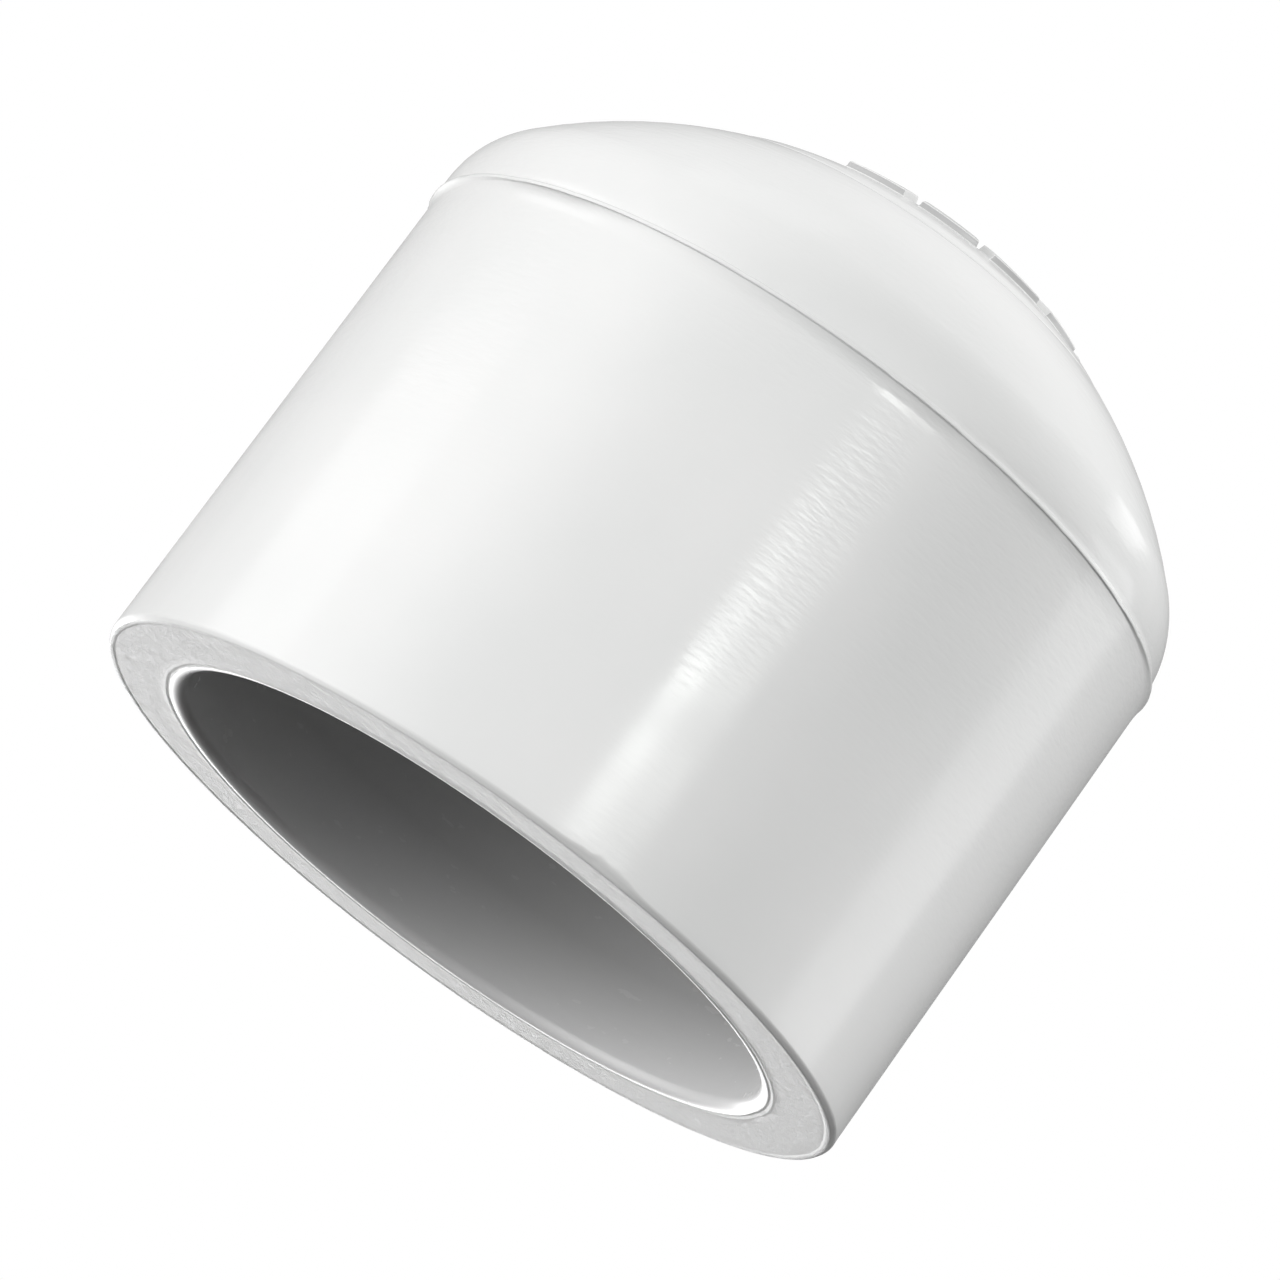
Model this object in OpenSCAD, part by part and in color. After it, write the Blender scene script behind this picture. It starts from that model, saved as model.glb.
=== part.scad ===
// Slip-on end cap for solvent-welded pressure pipe: one moulding, closed by a low dome.
// The cap stands on its mouth. +Z is the cap's axis, towards the dome.
// The origin is the centre of the mouth, in the plane of its flat rim.

/* [Pipe socket] */
// Outside diameter of the pipe that the socket takes
pipe_d = 33.4; // [32.4:0.1:34.2]
// Gap all round between the pipe and the socket's wall
pipe_gap = 0.13; // [0.05:0.01:0.3]
// Length of the socket's straight wall
socket_depth = 22.2; // [18:0.1:24]
// Radial width of the lead-in chamfer at the mouth
lead_in_w = 0.7; // [0.4:0.05:1.5]
// Depth of the lead-in chamfer
lead_in_h = 0.7; // [0.4:0.05:1.5]
// Width of the ledge that stops the pipe
stop_w = 1.2; // [0.6:0.1:2]

/* [Skirt] */
// Wall thickness at the mouth
wall = 4.42; // [4:0.01:5]
// Height of the skirt, from the mouth up to the parting line
skirt_h = 27.4; // [26:0.05:29]
// Loss of the skirt's radius from the mouth up to the parting line
skirt_draft = 0.13; // [0:0.01:0.3]
// Radial width of the eased outer edge at the mouth
edge_w = 0.2; // [0.1:0.02:0.8]
// Height of the eased outer edge at the mouth
edge_h = 0.25; // [0.1:0.05:1.2]

/* [Dome] */
// Difference between the skirt's radius at the mouth and the dome's at its base
dome_step = 0.16; // [0:0.01:0.3]
// Height of the dome's upright foot, under its round shoulder
dome_foot = 0.25; // [0:0.05:1]
// Sideways mismatch of the dome's mould half, towards -X
dome_shift = 0.23; // [0:0.01:0.4]
// Radius of the round shoulder
shoulder_r = 5.2; // [4:0.1:7]
// Radius of the crown
crown_r = 26.5; // [24:0.1:30]
// Thickness of the crown
crown_wall = 4.6; // [3.5:0.1:5.5]
// Radius of the round corner inside the closed end
inner_corner_r = 3; // [1:0.1:4]

/* [Parting line] */
// How far the bead stands out from the mouth's radius
bead_proud = 0.15; // [0.05:0.01:0.3]
// Radius of the bead's round section
bead_r = 0.9; // [0.6:0.05:1.2]
// Drop of the bead's middle below the parting line
bead_drop = 0.25; // [0:0.05:0.5]
// Share of the dome's mismatch that the bead follows
bead_follow = 0.35; // [0:0.05:1]

/* [Crown marks] */
// Number of plain raised pads in the ring
pad_count = 14; // [8:1:18]
// Number of pads left out of the ring, on its -X side
pad_blank = 4; // [2:2:6]
// Radius of the ring through the pads' middles
pad_ring_r = 8.3; // [7:0.1:10]
// Size of a pad along the radius
pad_w = 2.6; // [1.5:0.1:3.5]
// Gap between two pads, at the ring
pad_gap = 0.8; // [0.5:0.1:1.5]
// Height of the pads over the crown
pad_h = 0.42; // [0.2:0.02:0.8]
// Radius of the low round step that carries the pads
plate_r = 12.6; // [12:0.1:15]
// Height of that step
plate_h = 0.06; // [0.04:0.01:0.2]
// Radius of the trimmed moulding gate at the crown's middle
gate_r = 1.6; // [1:0.1:3]
// Height of the trimmed gate
gate_h = 0.28; // [0.1:0.02:0.6]

/* [Hidden] */
$fn = 240;

socket_r = pipe_d / 2 + pipe_gap;
mouth_r = socket_r + wall;
skirt_top_r = mouth_r - skirt_draft;
stop_z = lead_in_h + socket_depth;
cavity_r = socket_r - stop_w;

dome_r = mouth_r - dome_step;
shoulder_z = skirt_h + dome_foot;
crown_z = crown_middle(dome_r, shoulder_r, crown_r, shoulder_z);
inner_crown_r = crown_r - crown_wall;
// the inner corner starts where the inner crown, about the outer one's middle, meets it
inner_corner_z = crown_z + corner_rise(cavity_r, inner_corner_r, inner_crown_r);

bead_z = skirt_h - bead_drop;
bead_ring_r = mouth_r + bead_proud - bead_r;
// cuts and joined solids run this far past the faces they meet
past = 1;

// Rise from a crown's middle to the middle of the corner arc that is tangent to it
function corner_rise(side_r, corner_r, top_r) =
    sqrt(pow(top_r - corner_r, 2) - pow(side_r - corner_r, 2));

// Height of a crown's middle when its corner arc starts at side_z
function crown_middle(side_r, corner_r, top_r, side_z) =
    side_z - corner_rise(side_r, corner_r, top_r);

// Half section of a domed plug: a straight side up to side_z, a corner arc and a crown arc.
// The crown's sector also fills a cone down to its middle.
module domed_section(side_r, corner_r, top_r, from_z, side_z) {
    corner_x = side_r - corner_r;
    rise = corner_rise(side_r, corner_r, top_r);
    stretch = 2 * top_r / corner_x;
    translate([0, from_z]) square([side_r, side_z - from_z]);
    translate([corner_x, side_z]) circle(corner_r);
    translate([0, side_z - rise]) intersection() {
        circle(top_r);
        polygon([[0, 0], [corner_x, rise] * stretch, [0, rise * stretch]]);
    }
}

// Skirt: a slightly tapered drum with an eased edge at the mouth
module skirt() {
    rotate_extrude()
        polygon([
            [0, 0],
            [mouth_r - edge_w, 0],
            [mouth_r, edge_h],
            [skirt_top_r, skirt_h],
            [0, skirt_h],
        ]);
}

// Dome: its mould half sits a little to one side of the skirt's
module dome() {
    translate([-dome_shift, 0, 0]) {
        intersection() {
            rotate_extrude()
                domed_section(dome_r, shoulder_r, crown_r, skirt_h - past, shoulder_z);
            translate([0, 0, skirt_h]) cylinder(h = crown_r, r = mouth_r + past);
        }
        crown_marks();
    }
}

// Cap of a sphere that stands height above the crown, inside the given outline
module on_crown(height) {
    intersection() {
        translate([0, 0, crown_z]) sphere(crown_r + height);
        translate([0, 0, crown_z + inner_crown_r]) linear_extrude(crown_r) children();
    }
}

// Ring of plain raised pads, with equal gaps between them and a blank stretch at -X
module pad_ring() {
    pitch = 360 / pad_count;
    half_blank = pad_blank / 2 * pitch;
    half_gap = asin(pad_gap / 2 / pad_ring_r);
    far = 2 * pad_ring_r;
    difference() {
        circle(pad_ring_r + pad_w / 2);
        circle(pad_ring_r - pad_w / 2);
        for (i = [0 : pad_count - 1])
            rotate(i * pitch)
                polygon([
                    [0, 0],
                    [far * cos(half_gap), far * sin(half_gap)],
                    [far * cos(half_gap), -far * sin(half_gap)],
                ]);
        polygon([
            [0, 0],
            [-far, far * tan(half_blank)],
            [-far, -far * tan(half_blank)],
        ]);
    }
}

// The pads, the low step under them, and the trimmed gate
module crown_marks() {
    on_crown(pad_h) pad_ring();
    on_crown(plate_h) circle(plate_r);
    on_crown(gate_h) circle(gate_r);
}

// Bead of flash where the two mould halves meet
module bead() {
    translate([-dome_shift * bead_follow, 0, bead_z])
        rotate_extrude() translate([bead_ring_r, 0]) circle(bead_r);
}

// Lead-in chamfer, socket, stop ledge and the domed space above it
module hollow() {
    slope = lead_in_w / lead_in_h;
    translate([0, 0, -past])
        cylinder(h = past + lead_in_h, r1 = socket_r + lead_in_w + past * slope, r2 = socket_r);
    cylinder(h = stop_z, r = socket_r);
    rotate_extrude()
        domed_section(cavity_r, inner_corner_r, inner_crown_r, stop_z - past, inner_corner_z);
}

// The whole cap, moulded in one piece
module cap_body() {
    color("white")
        difference() {
            union() {
                skirt();
                dome();
                bead();
            }
            hollow();
        }
}

cap_body();
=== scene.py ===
import math

import bpy
import numpy as np
from mathutils import Matrix, Vector, noise


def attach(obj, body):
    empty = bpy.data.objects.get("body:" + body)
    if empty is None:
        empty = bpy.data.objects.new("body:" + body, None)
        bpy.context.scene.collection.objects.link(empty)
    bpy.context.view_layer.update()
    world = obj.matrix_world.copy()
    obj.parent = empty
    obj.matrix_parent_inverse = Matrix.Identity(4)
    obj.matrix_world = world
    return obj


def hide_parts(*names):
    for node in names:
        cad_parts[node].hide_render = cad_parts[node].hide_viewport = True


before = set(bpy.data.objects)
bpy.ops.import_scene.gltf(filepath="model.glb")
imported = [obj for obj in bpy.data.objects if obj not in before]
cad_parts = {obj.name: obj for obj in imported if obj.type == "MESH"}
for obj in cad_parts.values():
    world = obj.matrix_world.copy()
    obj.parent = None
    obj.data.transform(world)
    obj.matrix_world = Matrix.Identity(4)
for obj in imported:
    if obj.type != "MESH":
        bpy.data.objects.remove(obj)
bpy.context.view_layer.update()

MM = 0.001

# The cap's sizes, in millimetres. +Z is its axis, and the mouth's flat rim lies at z = 0.
SOCKET_R = 16.83
SOCKET_DEPTH = 22.2
LEAD_IN_W, LEAD_IN_H = 0.7, 0.7
LEAD_IN_ROUND = 0.62
STOP_W = 1.2
MOUTH_R = 21.25
SKIRT_H = 27.4
SKIRT_DRAFT = 0.13
EDGE_W, EDGE_H = 0.2, 0.25
DOME_R = MOUTH_R - 0.16
DOME_FOOT = 0.25
DOME_SHIFT = 0.23
SHOULDER_R = 5.2
CROWN_R = 26.5
CROWN_WALL = 4.6
INNER_CORNER_R = 3.0
LIP_PROUD = 0.185
LIP_SHIFT = 0.06
LIP_DIP = 0.2
LIP_R = 0.2
LIP_Z = SKIRT_H - 0.23
FLARE_H, FLARE_FRONT_H = 1.1, 0.09
PAD_COUNT, PAD_BLANK = 14, 4
PAD_RING_R, PAD_W, PAD_GAP, PAD_H = 8.3, 2.6, 0.8, 0.42
PLATE_R, PLATE_H, PLATE_SLOPE = 12.6, 0.06, 0.5
PLATE_GROOVE, PLATE_GROOVE_W = 0.05, 0.13
GATE_R, GATE_H = 1.6, 0.28

# Half the width of the side of a raised mark, and half the angle over which a pad's end rises
MARK_SIDE = 0.06
PAD_FLANK = math.radians(0.41)
PAD_PITCH = 2 * math.pi / PAD_COUNT

STOP_Z = LEAD_IN_H + SOCKET_DEPTH
CAVITY_R = SOCKET_R - STOP_W
SHOULDER_MIDDLE_R = DOME_R - SHOULDER_R
CROWN_RISE = math.sqrt((CROWN_R - SHOULDER_R) ** 2 - SHOULDER_MIDDLE_R ** 2)
SHOULDER_Z = SKIRT_H + DOME_FOOT
CROWN_Z = SHOULDER_Z - CROWN_RISE
CROWN_LEAN = math.atan2(CROWN_RISE, SHOULDER_MIDDLE_R)
INNER_CROWN_R = CROWN_R - CROWN_WALL
INNER_MIDDLE_R = CAVITY_R - INNER_CORNER_R
INNER_RISE = math.sqrt((INNER_CROWN_R - INNER_CORNER_R) ** 2 - INNER_MIDDLE_R ** 2)
INNER_LEAN = math.atan2(INNER_RISE, INNER_MIDDLE_R)

# How strong the world's light is: near the horizon, high up, and from below
SKY_TOP, SKY_LEFT, SKY_FRONT, SKY_FRONT_RIGHT = 0.1, 0.6, 1.7, 1.15
SKY_RIGHT, SKY_BACK_RIGHT = 1.35, 0.5
HIGH_LEFT, HIGH_BACK_LEFT, HIGH_BACK_RIGHT, HIGH_BACK = 0.75, 0.4, 0.7, 0.7
LOW_LEFT, LOW_FRONT_LEFT, LOW_BACK, LOW_BACK_SHEET, LOW_BACK_LEFT = 2.2, 1.9, 0.5, 5.0, 2.7

# The moulding's small faults, in millimetres; the skirt's stand out by MOST_GROWN at most
OUT_OF_ROUND = 0.02
FACE_ROUGH = 0.02
FACE_Z = 0.03
FACE_GROOVE_R, FACE_GROOVE_DEPTH = 17.6, 0.07
SMEAR_DEPTH = 0.16
RIM_FLASH = 0.06
MOST_GROWN = 0.06
LIP_UNEVEN = 0.03
NICK = 0.1

# How far the lights stand from the point on the axis that they face, and its height
LIGHT_DISTANCE = 250
LIGHT_AIM_Z = 13.975


def smooth_step(x):
    """0 below -1, 1 above 1, and a smooth rise between them."""
    t = np.clip((np.asarray(x, float) + 1) / 2, 0, 1)
    return t * t * (3 - 2 * t)


def uneven(points, size, seed):
    """Smooth noise from about -1 to 1 at each point, with bumps about size across."""
    offset = Vector((17.3 * seed, 5.1 * seed, 9.7 * seed))
    return np.array([noise.noise(Vector(p) / size + offset) for p in points])


# ---------------------------------------------------------------- the moulding's mesh

def pad_gap_angle():
    """Half the angle of the gap between two pads."""
    return math.asin(PAD_GAP / 2 / PAD_RING_R)


def angles():
    """Angles round the axis: even ones, with more of them at the ends of each pad."""
    flank = [share * PAD_FLANK for share in (-1.83, -1, -0.5, 0, 0.5, 1, 1.83)]
    start, end = pad_gap_angle(), PAD_PITCH - pad_gap_angle()
    inside = np.linspace(start + flank[-1], end + flank[0], 14)[1:-1]
    gap = np.linspace(end + flank[-1], PAD_PITCH + start + flank[0], 4)[1:-1]
    one = [start + f for f in flank] + list(inside) + [end + f for f in flank] + list(gap)
    return np.array([i * PAD_PITCH + a for i in range(PAD_COUNT) for a in one])


ANGLES = angles()


def pad_share():
    """1 along each pad and 0 in the gaps and the blank stretch at -X, for every angle."""
    in_ring = np.abs(ANGLES - math.pi) > PAD_BLANK / 2 * PAD_PITCH
    from_gap = np.abs((ANGLES + PAD_PITCH / 2) % PAD_PITCH - PAD_PITCH / 2)
    return in_ring * smooth_step((from_gap - pad_gap_angle()) / PAD_FLANK)


def turned(r, z, shift=0.0):
    """A ring of points at radius r and height z, which may each vary with the angle."""
    r = np.broadcast_to(r, ANGLES.shape)
    z = np.broadcast_to(z, ANGLES.shape)
    return np.column_stack([r * np.cos(ANGLES) - shift, r * np.sin(ANGLES), z])


def arc(middle_r, middle_z, radius, start, end, steps):
    """Points (r, z) along an arc, with both its ends."""
    leans = np.linspace(start, end, steps + 1)
    return [(middle_r + radius * math.cos(a), middle_z + radius * math.sin(a)) for a in leans]


def rounded(corners, steps=5):
    """Points along a run of straight lines, with each inner corner (r, z, radius) rounded."""
    points = []
    for before, corner, after in zip(corners, corners[1:], corners[2:]):
        at = Vector(corner[:2])
        back = (Vector(before[:2]) - at).normalized()
        on = (Vector(after[:2]) - at).normalized()
        half = back.angle(on) / 2
        middle = at + (back + on).normalized() * corner[2] / math.sin(half)
        reach = corner[2] / math.tan(half)
        for i in range(steps + 1):
            chord = (at + back * reach).lerp(at + on * reach, i / steps)
            points.append(tuple(middle + (chord - middle).normalized() * corner[2]))
    return points


def filled(points, longest):
    """The same run with points added so that no step is longer than longest."""
    out = [points[0]]
    for a, b in zip(points, points[1:]):
        parts = max(1, math.ceil(math.dist(a, b) / longest))
        out += [tuple(np.add(a, np.subtract(b, a) * i / parts)) for i in range(1, parts + 1)]
    return out


def inner_rings():
    """From the closed end's inside, down the cavity, ledge and socket, to the mouth's face."""
    crown = arc(0, CROWN_Z, INNER_CROWN_R, math.radians(88), INNER_LEAN, 9)
    corner = arc(INNER_MIDDLE_R, CROWN_Z + INNER_RISE, INNER_CORNER_R, INNER_LEAN, 0, 7)
    wall = rounded([
        (CAVITY_R, CROWN_Z + INNER_RISE),
        (CAVITY_R, STOP_Z, 0.25),
        (SOCKET_R, STOP_Z, 0.35),
        (SOCKET_R, 0, LEAD_IN_ROUND),
        (MOUTH_R - EDGE_W, 0),
    ], steps=9)
    rings = []
    for r, z in crown + corner[1:] + filled(wall, 2.0):
        ring = turned(r, z)
        if z < STOP_Z:
            ring[:, :2] *= 1 + 0.5 * OUT_OF_ROUND / r * uneven(ring, 14, 3)[:, None]
        rings.append(ring)
    return rings


def around(centre, half_width):
    """1 at an angle in degrees, fading to 0 at half_width degrees to either side."""
    away = (ANGLES - math.radians(centre) + math.pi) % (2 * math.pi) - math.pi
    return smooth_step(1 - 2 * np.abs(away) / math.radians(half_width))


def face_rings():
    """The mouth's face: a fine groove by the bore, the rough flat, and a burr at its outer edge."""
    place = turned(MOUTH_R, 0.0)
    deep = FACE_GROOVE_DEPTH * (0.75 + 0.25 * uneven(place, 6, 11))
    smeared = SMEAR_DEPTH * around(5, 9)
    wander = 0.03 * uneven(place, 3, 12)
    # steps outward from the groove's deepest line, with the share of its depth at each
    profile = [
        (-0.10, 0), (-0.05, 0.5), (0, 1), (0.06, 0.9), (0.12, 0.3), (0.17, 0), (0.22, 0), (0.27, 0.3),
    ]
    rings = []
    for step, share in profile:
        ring = turned(FACE_GROOVE_R + step + wander, share * deep)
        ring[:, 2] += smeared * np.abs(uneven(ring, 0.45, 13))
        rings.append(ring)
    for r in np.linspace(FACE_GROOVE_R + 0.35, MOUTH_R - 0.6, 9):
        flat = turned(r, 0.0)
        grain = np.abs(uneven(flat, 0.7, 1) + 0.5 * uneven(flat, 0.3, 2))
        rings.append(turned(r, FACE_Z + FACE_ROUGH * grain))
    wander = 0.06 * uneven(place, 2.2, 14) + 0.03 * uneven(place, 0.7, 15)
    for inset, share in ((0.51, 1.6), (0.45, 1), (0.40, 0), (0.35, 0)):
        rings.append(turned(MOUTH_R - inset + wander, FACE_Z * share))
    return rings


def flash(ring, strength):
    """How far the rim's ragged flash stands out: little of it in front, more at +X."""
    side = 0.3 + 0.7 * around(-12, 20)
    ragged = np.clip(uneven(ring, 0.9, 4) + 0.6 * uneven(ring, 0.35, 5) - 0.15, -0.3, 1)
    return strength * side * ragged + 0.03 * around(-12, 16)


def skirt_rings():
    """The eased edge at the mouth, with its trim mark, and the skirt up to under the flare."""
    edge = rounded([
        (SOCKET_R + LEAD_IN_W, 0),
        (MOUTH_R - EDGE_W, 0, 0.2),
        (MOUTH_R, EDGE_H, 0.3),
        (MOUTH_R - SKIRT_DRAFT, SKIRT_H),
    ], steps=6)
    straight = [(MOUTH_R - SKIRT_DRAFT * z / SKIRT_H, z) for z in np.linspace(0.8, 26.0, 30)]
    rings = []
    trimmed = around(-78, 7)
    for r, z in edge + straight:
        ring = turned(r, z)
        grown = OUT_OF_ROUND * uneven(ring, 16, 6)
        height = z
        if z < 2 * EDGE_H:
            near = 1 - abs(z - EDGE_H / 2) / EDGE_H
            grown = grown + flash(ring, RIM_FLASH * max(near, 0))
            height = z * (1 + trimmed * (0.8 + 0.5 * uneven(ring, 0.5, 16)))
        rings.append(turned(np.minimum(r + grown, MOUTH_R + MOST_GROWN), height))
    return rings


def dome_shift(z):
    """How far the dome stands towards -X at height z: less at its foot than higher up."""
    return DOME_SHIFT * (0.6 + 0.4 * float(smooth_step((z - SKIRT_H) / 1.5 - 1)))


def lip_rings():
    """The parting line: the skirt flares into a thin lip, and a small ledge leads to the dome."""
    skirt_r = MOUTH_R - SKIRT_DRAFT
    place = turned(MOUTH_R, 0.0)
    nicked = 0.3 + 0.7 * smooth_step(2 * uneven(place, 14, 9))
    nicks = np.clip(uneven(place, 1.1, 8) - 0.1, 0, 1) * nicked
    proud = LIP_PROUD * (0.65 + 0.35 * np.cos(ANGLES) ** 8) - LIP_SHIFT * np.cos(ANGLES)
    proud = proud + LIP_UNEVEN * uneven(place, 2.5, 10) - NICK * nicks
    dip = LIP_DIP * np.clip(-np.cos(ANGLES), 0, 1) ** 2
    wander = 0.02 * uneven(place, 9, 7) - 0.6 * NICK * nicks - dip
    flare_h = FLARE_FRONT_H + (FLARE_H - FLARE_FRONT_H) * np.cos(ANGLES) ** 16
    rings = []
    for t in np.linspace(0.1, 1, 8) ** 0.7:
        height = LIP_Z - 0.05 - flare_h * (1 - t) + wander * t
        rings.append(turned(skirt_r + 0.98 * proud * t ** 2.3, height))
    for lean in np.radians(np.linspace(2, 66, 6)):
        edge_r = skirt_r + proud - LIP_R * (1 - math.cos(lean))
        edge_z = LIP_Z + LIP_R * math.sin(lean) + wander
        rings.append(turned(edge_r, edge_z))
    foot_z = SKIRT_H + 0.05
    foot_r = DOME_R - dome_shift(foot_z) * np.cos(ANGLES)
    for part in (0.35, 0.7):
        ledge_r = (1 - part) * edge_r + part * foot_r
        rings.append(turned(ledge_r, (1 - part) * edge_z + part * foot_z))
    return rings


def crown_ring(radius, height):
    """A ring on the crown, at a radius from the dome's own axis, raised by height."""
    lean = math.acos(radius / CROWN_R)
    reach = CROWN_R + np.asarray(height)
    return turned(reach * math.cos(lean), CROWN_Z + reach * math.sin(lean), DOME_SHIFT)


def raised(radius, along):
    """Height of the marks over the crown: a plate in a fine groove, its pads, and the gate."""
    plate = PLATE_H * smooth_step((PLATE_R - radius - 0.6) / PLATE_SLOPE)
    groove = PLATE_GROOVE * max(0, 1 - abs(radius - PLATE_R) / PLATE_GROOVE_W)
    across = smooth_step((PAD_W / 2 - abs(radius - PAD_RING_R)) / MARK_SIDE)
    gate = (GATE_H - PLATE_H) * smooth_step((GATE_R - radius) / MARK_SIDE)
    return plate - groove + (PAD_H - PLATE_H) * across * along + gate


def dome_rings():
    """The round shoulder, and the crown with its plain marks."""
    foot = [(DOME_R, SKIRT_H + 0.08)]
    shoulder = foot + arc(SHOULDER_MIDDLE_R, SHOULDER_Z, SHOULDER_R, 0, CROWN_LEAN, 20)
    rings = [turned(r, z, dome_shift(z)) for r, z in shoulder]
    side = MARK_SIDE * np.array([2, 1, 0.5, 0, -0.5, -1, -2])
    radii = [
        *np.linspace(CROWN_R * math.cos(CROWN_LEAN), PLATE_R + 0.3, 9)[1:],
        *(PLATE_R + side),
        *(PLATE_R - np.linspace(0.55, 1.61, 7) ** 2),
        *(PAD_RING_R + PAD_W / 2 + side),
        *np.linspace(PAD_RING_R + 0.8, PAD_RING_R - 0.8, 3),
        *(PAD_RING_R - PAD_W / 2 + side),
        *np.linspace(6.2, GATE_R + 0.8, 5),
        *(GATE_R + side),
        *np.linspace(GATE_R - 0.5, 0.25, 3),
    ]
    along = pad_share()
    for radius in radii:
        height = raised(radius, along)
        if radius < GATE_R:
            height = height - 0.06 * np.abs(uneven(crown_ring(radius, 0.0), 0.5, 9))
        rings.append(crown_ring(radius, height))
    return rings


def mesh_of_rings(name, rings, first_pole, last_pole):
    """A closed mesh from rings of points, with a point that closes each end. It faces outward."""
    count = len(ANGLES)
    points = [first_pole, *np.concatenate(rings), last_pole]
    last = len(points) - 1
    faces = []
    for i in range(count):
        j = (i + 1) % count
        faces.append((0, 1 + j, 1 + i))
        for k in range(len(rings) - 1):
            a, b = 1 + k * count, 1 + (k + 1) * count
            faces.append((a + j, b + j, b + i, a + i))
        end = 1 + (len(rings) - 1) * count
        faces.append((end + j, last, end + i))
    mesh = bpy.data.meshes.new(name)
    mesh.from_pydata([Vector(p) * MM for p in points], [], faces)
    mesh.validate()
    return mesh


def finish_at(middle, normal):
    """Which finish a face has: 0 is glossy, 1 matte (mouth's face and gate), 2 the dull socket with
    its painted shade.
    """
    from_axis = math.hypot(middle.x, middle.y)
    inside_r = SOCKET_R + LEAD_IN_W
    on_face = middle.z < 0.25 and inside_r < from_axis < MOUTH_R - EDGE_W
    on_gate = middle.z > CROWN_Z + CROWN_R and from_axis < GATE_R
    if on_face or on_gate:
        return 1
    outward = normal.x * middle.x + normal.y * middle.y
    return 2 if from_axis < inside_r and (outward < 0 or normal.z < 0) else 0


def make_cap(gloss, matte, socket):
    """The whole moulding, from the closed end's inside round the mouth to the gate outside."""
    rings = inner_rings() + face_rings() + skirt_rings() + lip_rings() + dome_rings()
    inside_top = (0, 0, CROWN_Z + INNER_CROWN_R)
    outside_top = (-DOME_SHIFT, 0, CROWN_Z + CROWN_R + GATE_H - 0.03)
    mesh = mesh_of_rings("moulded_cap", rings, inside_top, outside_top)
    for finish in (gloss, matte, socket):
        mesh.materials.append(finish)
    for polygon in mesh.polygons:
        polygon.use_smooth = True
        polygon.material_index = finish_at(polygon.center / MM, polygon.normal)
    cap = bpy.data.objects.new("moulded_cap", mesh)
    bpy.context.scene.collection.objects.link(cap)
    return cap


# ---------------------------------------------------------------- materials

def add(tree, kind, values=None, **properties):
    """A new shader node with its properties and input values set."""
    node = tree.nodes.new(kind)
    for key, value in properties.items():
        setattr(node, key, value)
    for key, value in (values or {}).items():
        node.inputs[key].default_value = value
    return node


def noise_field(tree, scale, detail=2.0, roughness=0.5):
    """Noise over the object's own coordinates; scale is (x, y, z) in bumps per metre."""
    place = add(tree, "ShaderNodeTexCoord")
    stretch = add(tree, "ShaderNodeMapping", {"Scale": scale})
    field = add(tree, "ShaderNodeTexNoise", {"Scale": 1.0, "Detail": detail, "Roughness": roughness})
    tree.links.new(place.outputs["Object"], stretch.inputs["Vector"])
    tree.links.new(stretch.outputs["Vector"], field.inputs["Vector"])
    return field.outputs["Fac"]


def computed(tree, operation, first, second):
    """The result of a maths node; each input is a number or another node's output."""
    node = add(tree, "ShaderNodeMath", operation=operation)
    for socket, value in zip(node.inputs, (first, second)):
        if isinstance(value, bpy.types.NodeSocket):
            tree.links.new(value, socket)
        else:
            socket.default_value = value
    return node.outputs["Value"]


def height_of(tree):
    """The height above the mouth, in metres."""
    place = add(tree, "ShaderNodeTexCoord")
    axes = add(tree, "ShaderNodeSeparateXYZ")
    tree.links.new(place.outputs["Object"], axes.inputs["Vector"])
    return axes.outputs["Z"]


def ramped(tree, value, low, high, start=0.3, end=0.7):
    """A value stretched from start..end to low..high."""
    ramp = add(tree, "ShaderNodeMapRange", {
        "From Min": start, "From Max": end, "To Min": low, "To Max": high,
    })
    tree.links.new(value, ramp.inputs["Value"])
    return ramp.outputs["Result"]


def tinted(tree, value, first, last, start=0.3, end=0.7):
    """A colour that goes from first to last as the value goes from start to end."""
    mix = add(tree, "ShaderNodeValToRGB")
    stops = zip(mix.color_ramp.elements, (first, last), (start, end))
    for stop, colour, position in stops:
        stop.color = (*colour, 1)
        stop.position = position
    tree.links.new(value, mix.inputs["Fac"])
    return mix.outputs["Color"]


def bumped(tree, height, distance, below=None):
    """A bump of that height field, distance metres high, over another one."""
    bump = add(tree, "ShaderNodeBump", {"Strength": 1.0, "Distance": distance})
    tree.links.new(height, bump.inputs["Height"])
    if below:
        tree.links.new(below, bump.inputs["Normal"])
    return bump.outputs["Normal"]


def plastic(name):
    """A plain white plastic and its shader."""
    material = bpy.data.materials.new(name)
    material.use_nodes = True
    tree = material.node_tree
    shader = tree.nodes["Principled BSDF"]
    shader.inputs["IOR"].default_value = 1.53
    return material, tree, shader


def glossy_pvc():
    """Moulded white PVC: a cloudy gloss, with fine flat ripples that grow towards the dome."""
    material, tree, shader = plastic("glossy_pvc")
    cloud = noise_field(tree, (90, 90, 90), detail=4)
    colour = tinted(tree, cloud, (0.80, 0.805, 0.80), (0.84, 0.84, 0.835))
    tree.links.new(colour, shader.inputs["Base Color"])
    smear = noise_field(tree, (160, 160, 400), detail=3)
    tree.links.new(ramped(tree, smear, 0.13, 0.2), shader.inputs["Roughness"])
    peel = noise_field(tree, (900, 900, 900), detail=1)
    ripples = noise_field(tree, (900, 900, 3300), detail=2, roughness=0.55)
    strength = ramped(tree, height_of(tree), 0.3, 1.0, start=4 * MM, end=22 * MM)
    growing = computed(tree, "MULTIPLY", ripples, strength)
    normal = bumped(tree, growing, 0.016 * MM, below=bumped(tree, peel, 0.002 * MM))
    tree.links.new(normal, shader.inputs["Normal"])
    return material


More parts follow.
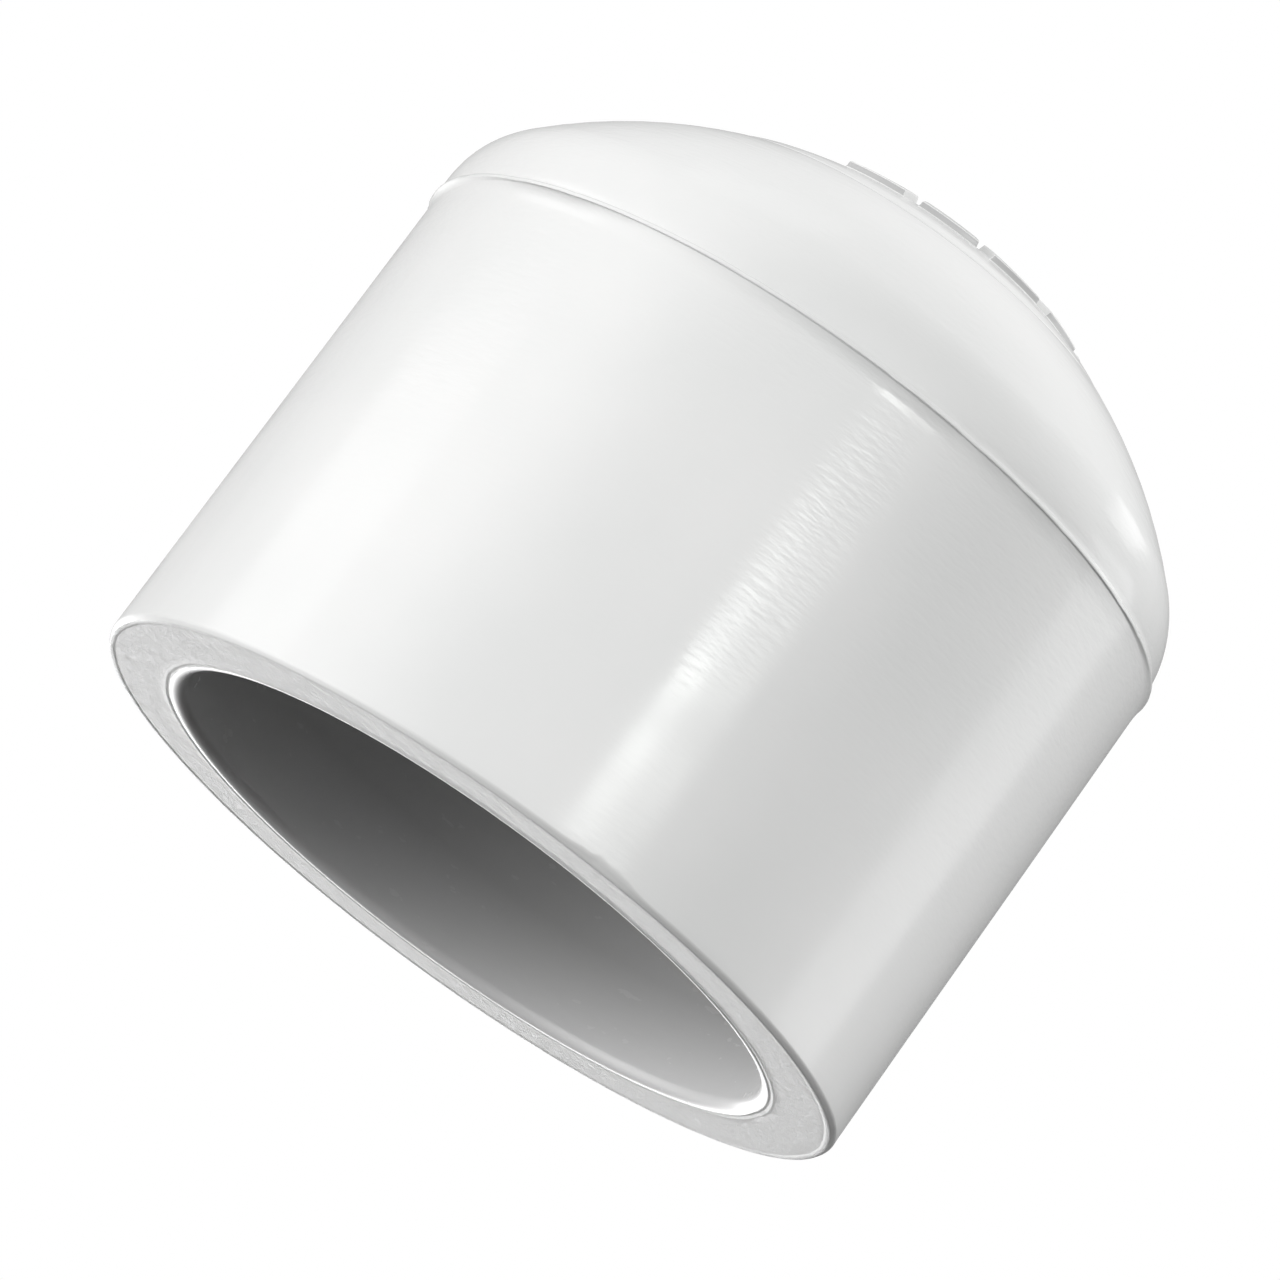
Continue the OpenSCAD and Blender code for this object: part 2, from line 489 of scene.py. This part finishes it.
def socket_pvc_with_painted_shade():
    """The socket's wall: duller than the outside, and its colour greys with painted shade deeper in
    from the lip.
    """
    material, tree, shader = plastic("socket_pvc_with_painted_shade")
    # Painted shade: the base colour darkens from 0.84 at the lip to 0.52 five millimetres in,
    # standing in for the shade inside the socket
    depth = ramped(tree, height_of(tree), 0, 1, start=0.4 * MM, end=5 * MM)
    colour = tinted(tree, depth, (0.84, 0.84, 0.84), (0.52, 0.52, 0.52), start=0, end=1)
    tree.links.new(colour, shader.inputs["Base Color"])
    cloud = noise_field(tree, (700, 700, 1800), detail=3)
    tree.links.new(ramped(tree, cloud, 0.2, 0.28), shader.inputs["Roughness"])
    tree.links.new(bumped(tree, cloud, 0.012 * MM), shader.inputs["Normal"])
    return material


def matte_pvc():
    """Trimmed white PVC: the same plastic with a dull, finely torn surface."""
    material, tree, shader = plastic("matte_pvc")
    cloud = noise_field(tree, (1500, 1500, 1500), detail=4)
    colour = tinted(tree, cloud, (0.78, 0.785, 0.78), (0.88, 0.88, 0.875))
    tree.links.new(colour, shader.inputs["Base Color"])
    tree.links.new(ramped(tree, cloud, 0.42, 0.6), shader.inputs["Roughness"])
    torn = noise_field(tree, (2600, 2600, 2600), detail=4, roughness=0.7)
    tree.links.new(bumped(tree, torn, 0.06 * MM), shader.inputs["Normal"])
    return material


# ---------------------------------------------------------------- the studio

def direction(azimuth, elevation):
    """Unit vector from the object; azimuth 0 is in front, at -Y, and 90 is at +X."""
    a, e = math.radians(azimuth), math.radians(elevation)
    return Vector((math.sin(a) * math.cos(e), -math.cos(a) * math.cos(e), math.sin(e)))


def lobe(tree, towards, azimuth, elevation, strength, power=8):
    """Light from one side, brightest in the given direction and narrower at a higher power."""
    middle = add(tree, "ShaderNodeVectorMath", operation="DOT_PRODUCT")
    middle.inputs[1].default_value = direction(azimuth, elevation)
    tree.links.new(towards, middle.inputs[0])
    facing = computed(tree, "MAXIMUM", middle.outputs["Value"], 0.0)
    return computed(tree, "MULTIPLY", computed(tree, "POWER", facing, float(power)), strength)


def total(tree, parts):
    """The sum of several values."""
    whole = parts[0]
    for part in parts[1:]:
        whole = computed(tree, "ADD", whole, part)
    return whole


def make_world():
    """White to the camera, and to the object soft light from all round, above and below."""
    world = bpy.data.worlds.new("studio")
    bpy.context.scene.world = world
    world.use_nodes = True
    tree = world.node_tree
    tree.nodes.clear()
    place = add(tree, "ShaderNodeTexCoord")
    towards = place.outputs["Generated"]
    above = total(tree, [
        lobe(tree, towards, 0, 90, SKY_TOP, 2),
        lobe(tree, towards, -60, 8, SKY_LEFT),
        lobe(tree, towards, 0, 8, SKY_FRONT),
        lobe(tree, towards, 30, 20, SKY_FRONT_RIGHT),
        lobe(tree, towards, 90, 20, SKY_RIGHT),
        lobe(tree, towards, 120, 8, SKY_BACK_RIGHT),
        lobe(tree, towards, -60, 50, HIGH_LEFT, 6),
        lobe(tree, towards, -120, 50, HIGH_BACK_LEFT, 6),
        lobe(tree, towards, 120, 50, HIGH_BACK_RIGHT, 6),
        lobe(tree, towards, 180, 50, HIGH_BACK, 6),
    ])
    below = total(tree, [
        lobe(tree, towards, -90, -30, LOW_LEFT),
        lobe(tree, towards, -60, -15, LOW_FRONT_LEFT),
        lobe(tree, towards, -160, -20, LOW_BACK),
        lobe(tree, towards, -175, -20, LOW_BACK_SHEET, 40),
        lobe(tree, towards, -160, -8, LOW_BACK_LEFT, 40),
    ])
    height = add(tree, "ShaderNodeSeparateXYZ")
    tree.links.new(towards, height.inputs["Vector"])
    horizon = add(tree, "ShaderNodeMapRange", {"From Min": -0.12, "From Max": 0.12})
    horizon.interpolation_type = "SMOOTHSTEP"
    tree.links.new(height.outputs["Z"], horizon.inputs["Value"])
    over_horizon = computed(tree, "MULTIPLY", above, horizon.outputs["Result"])
    lit = add(tree, "ShaderNodeBackground", {"Color": (1, 1, 1, 1)})
    tree.links.new(computed(tree, "ADD", over_horizon, below), lit.inputs["Strength"])
    seen = add(tree, "ShaderNodeBackground", {"Color": (1, 1, 1, 1), "Strength": 1.0})
    ray = add(tree, "ShaderNodeLightPath")
    mix = add(tree, "ShaderNodeMixShader")
    out = add(tree, "ShaderNodeOutputWorld")
    tree.links.new(ray.outputs["Is Camera Ray"], mix.inputs["Fac"])
    tree.links.new(lit.outputs["Background"], mix.inputs[1])
    tree.links.new(seen.outputs["Background"], mix.inputs[2])
    tree.links.new(mix.outputs["Shader"], out.inputs["Surface"])


def softbox(name, azimuth, elevation, width, height, radiance, colour=(1, 1, 1)):
    """A rectangular light of even radiance, sizes in millimetres, that faces the skirt."""
    light = bpy.data.lights.new(name, "AREA")
    light.shape = "RECTANGLE"
    light.size, light.size_y = width * MM, height * MM
    light.energy = radiance * math.pi * light.size * light.size_y
    light.color = colour
    lamp = bpy.data.objects.new(name, light)
    towards = direction(azimuth, elevation)
    lamp.location = (Vector((0, 0, LIGHT_AIM_Z)) + towards * LIGHT_DISTANCE) * MM
    lamp.rotation_euler = towards.to_track_quat("Z", "Y").to_euler()
    lamp.visible_camera = False
    bpy.context.scene.collection.objects.link(lamp)


def make_lights():
    """A window at the left, a lamp in two parts in front, a card at the right, two skylights."""
    cool = (0.965, 1, 0.97)
    softbox("window", -91, 2.8, 130, 113, 0.95)
    softbox("lamp", 12.6, 11.6, 30, 22, 9.5, cool)
    softbox("lamp_side", 21.5, 11.8, 46, 22, 3.8, cool)
    softbox("card", 99, 13, 110, 160, 1.15)
    softbox("skylight_left", -115, 67, 110, 80, 0.31)
    softbox("skylight_right", 128, 44, 110, 36, 1.2)


def make_floor():
    """A plain pale floor under the mouth. It is one-sided: from below it isn't seen."""
    size = 1.5
    corners = [(-size, -size, 0), (size, -size, 0), (size, size, 0), (-size, size, 0)]
    mesh = bpy.data.meshes.new("floor")
    mesh.from_pydata(corners, [], [(0, 1, 2, 3)])
    floor = bpy.data.objects.new("floor", mesh)
    floor.location.z = -0.05 * MM
    material = bpy.data.materials.new("pale_floor")
    material.use_nodes = True
    tree = material.node_tree
    shader = tree.nodes["Principled BSDF"]
    shader.inputs["Base Color"].default_value = (0.2, 0.2, 0.2, 1)
    shader.inputs["Roughness"].default_value = 0.9
    shader.inputs["Emission Color"].default_value = (1, 1, 1, 1)
    shader.inputs["Emission Strength"].default_value = 0.66
    side = add(tree, "ShaderNodeNewGeometry")
    clear = add(tree, "ShaderNodeBsdfTransparent")
    mix = add(tree, "ShaderNodeMixShader")
    tree.links.new(side.outputs["Backfacing"], mix.inputs["Fac"])
    tree.links.new(shader.outputs["BSDF"], mix.inputs[1])
    tree.links.new(clear.outputs["BSDF"], mix.inputs[2])
    tree.links.new(mix.outputs["Shader"], tree.nodes["Material Output"].inputs["Surface"])
    mesh.materials.append(material)
    bpy.context.scene.collection.objects.link(floor)
    floor.visible_shadow = floor.visible_diffuse = floor.visible_glossy = False


def make_camera():
    """Looks up into the mouth from in front and below, rolled so that the cap leans right."""
    elevation, roll = -14.114, 36.076
    distance = 436.16
    target = Vector((-0.474, 1.212, 15.481))
    data = bpy.data.cameras.new("camera")
    data.sensor_width = 36
    data.lens = 253.12
    data.clip_start, data.clip_end = 0.01, 10
    camera = bpy.data.objects.new("camera", data)
    back = direction(0, elevation)
    turn = back.to_track_quat("Z", "Y").to_matrix() @ Matrix.Rotation(math.radians(roll), 3, "Z")
    camera.matrix_world = Matrix.Translation((target + back * distance) * MM) @ turn.to_4x4()
    bpy.context.scene.collection.objects.link(camera)
    bpy.context.scene.camera = camera


make_camera()
make_world()
make_lights()
make_floor()

cap = make_cap(glossy_pvc(), matte_pvc(), socket_pvc_with_painted_shade())
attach(cap, "root")
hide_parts("cap_body")

bpy.context.scene.view_settings.view_transform = "Standard"
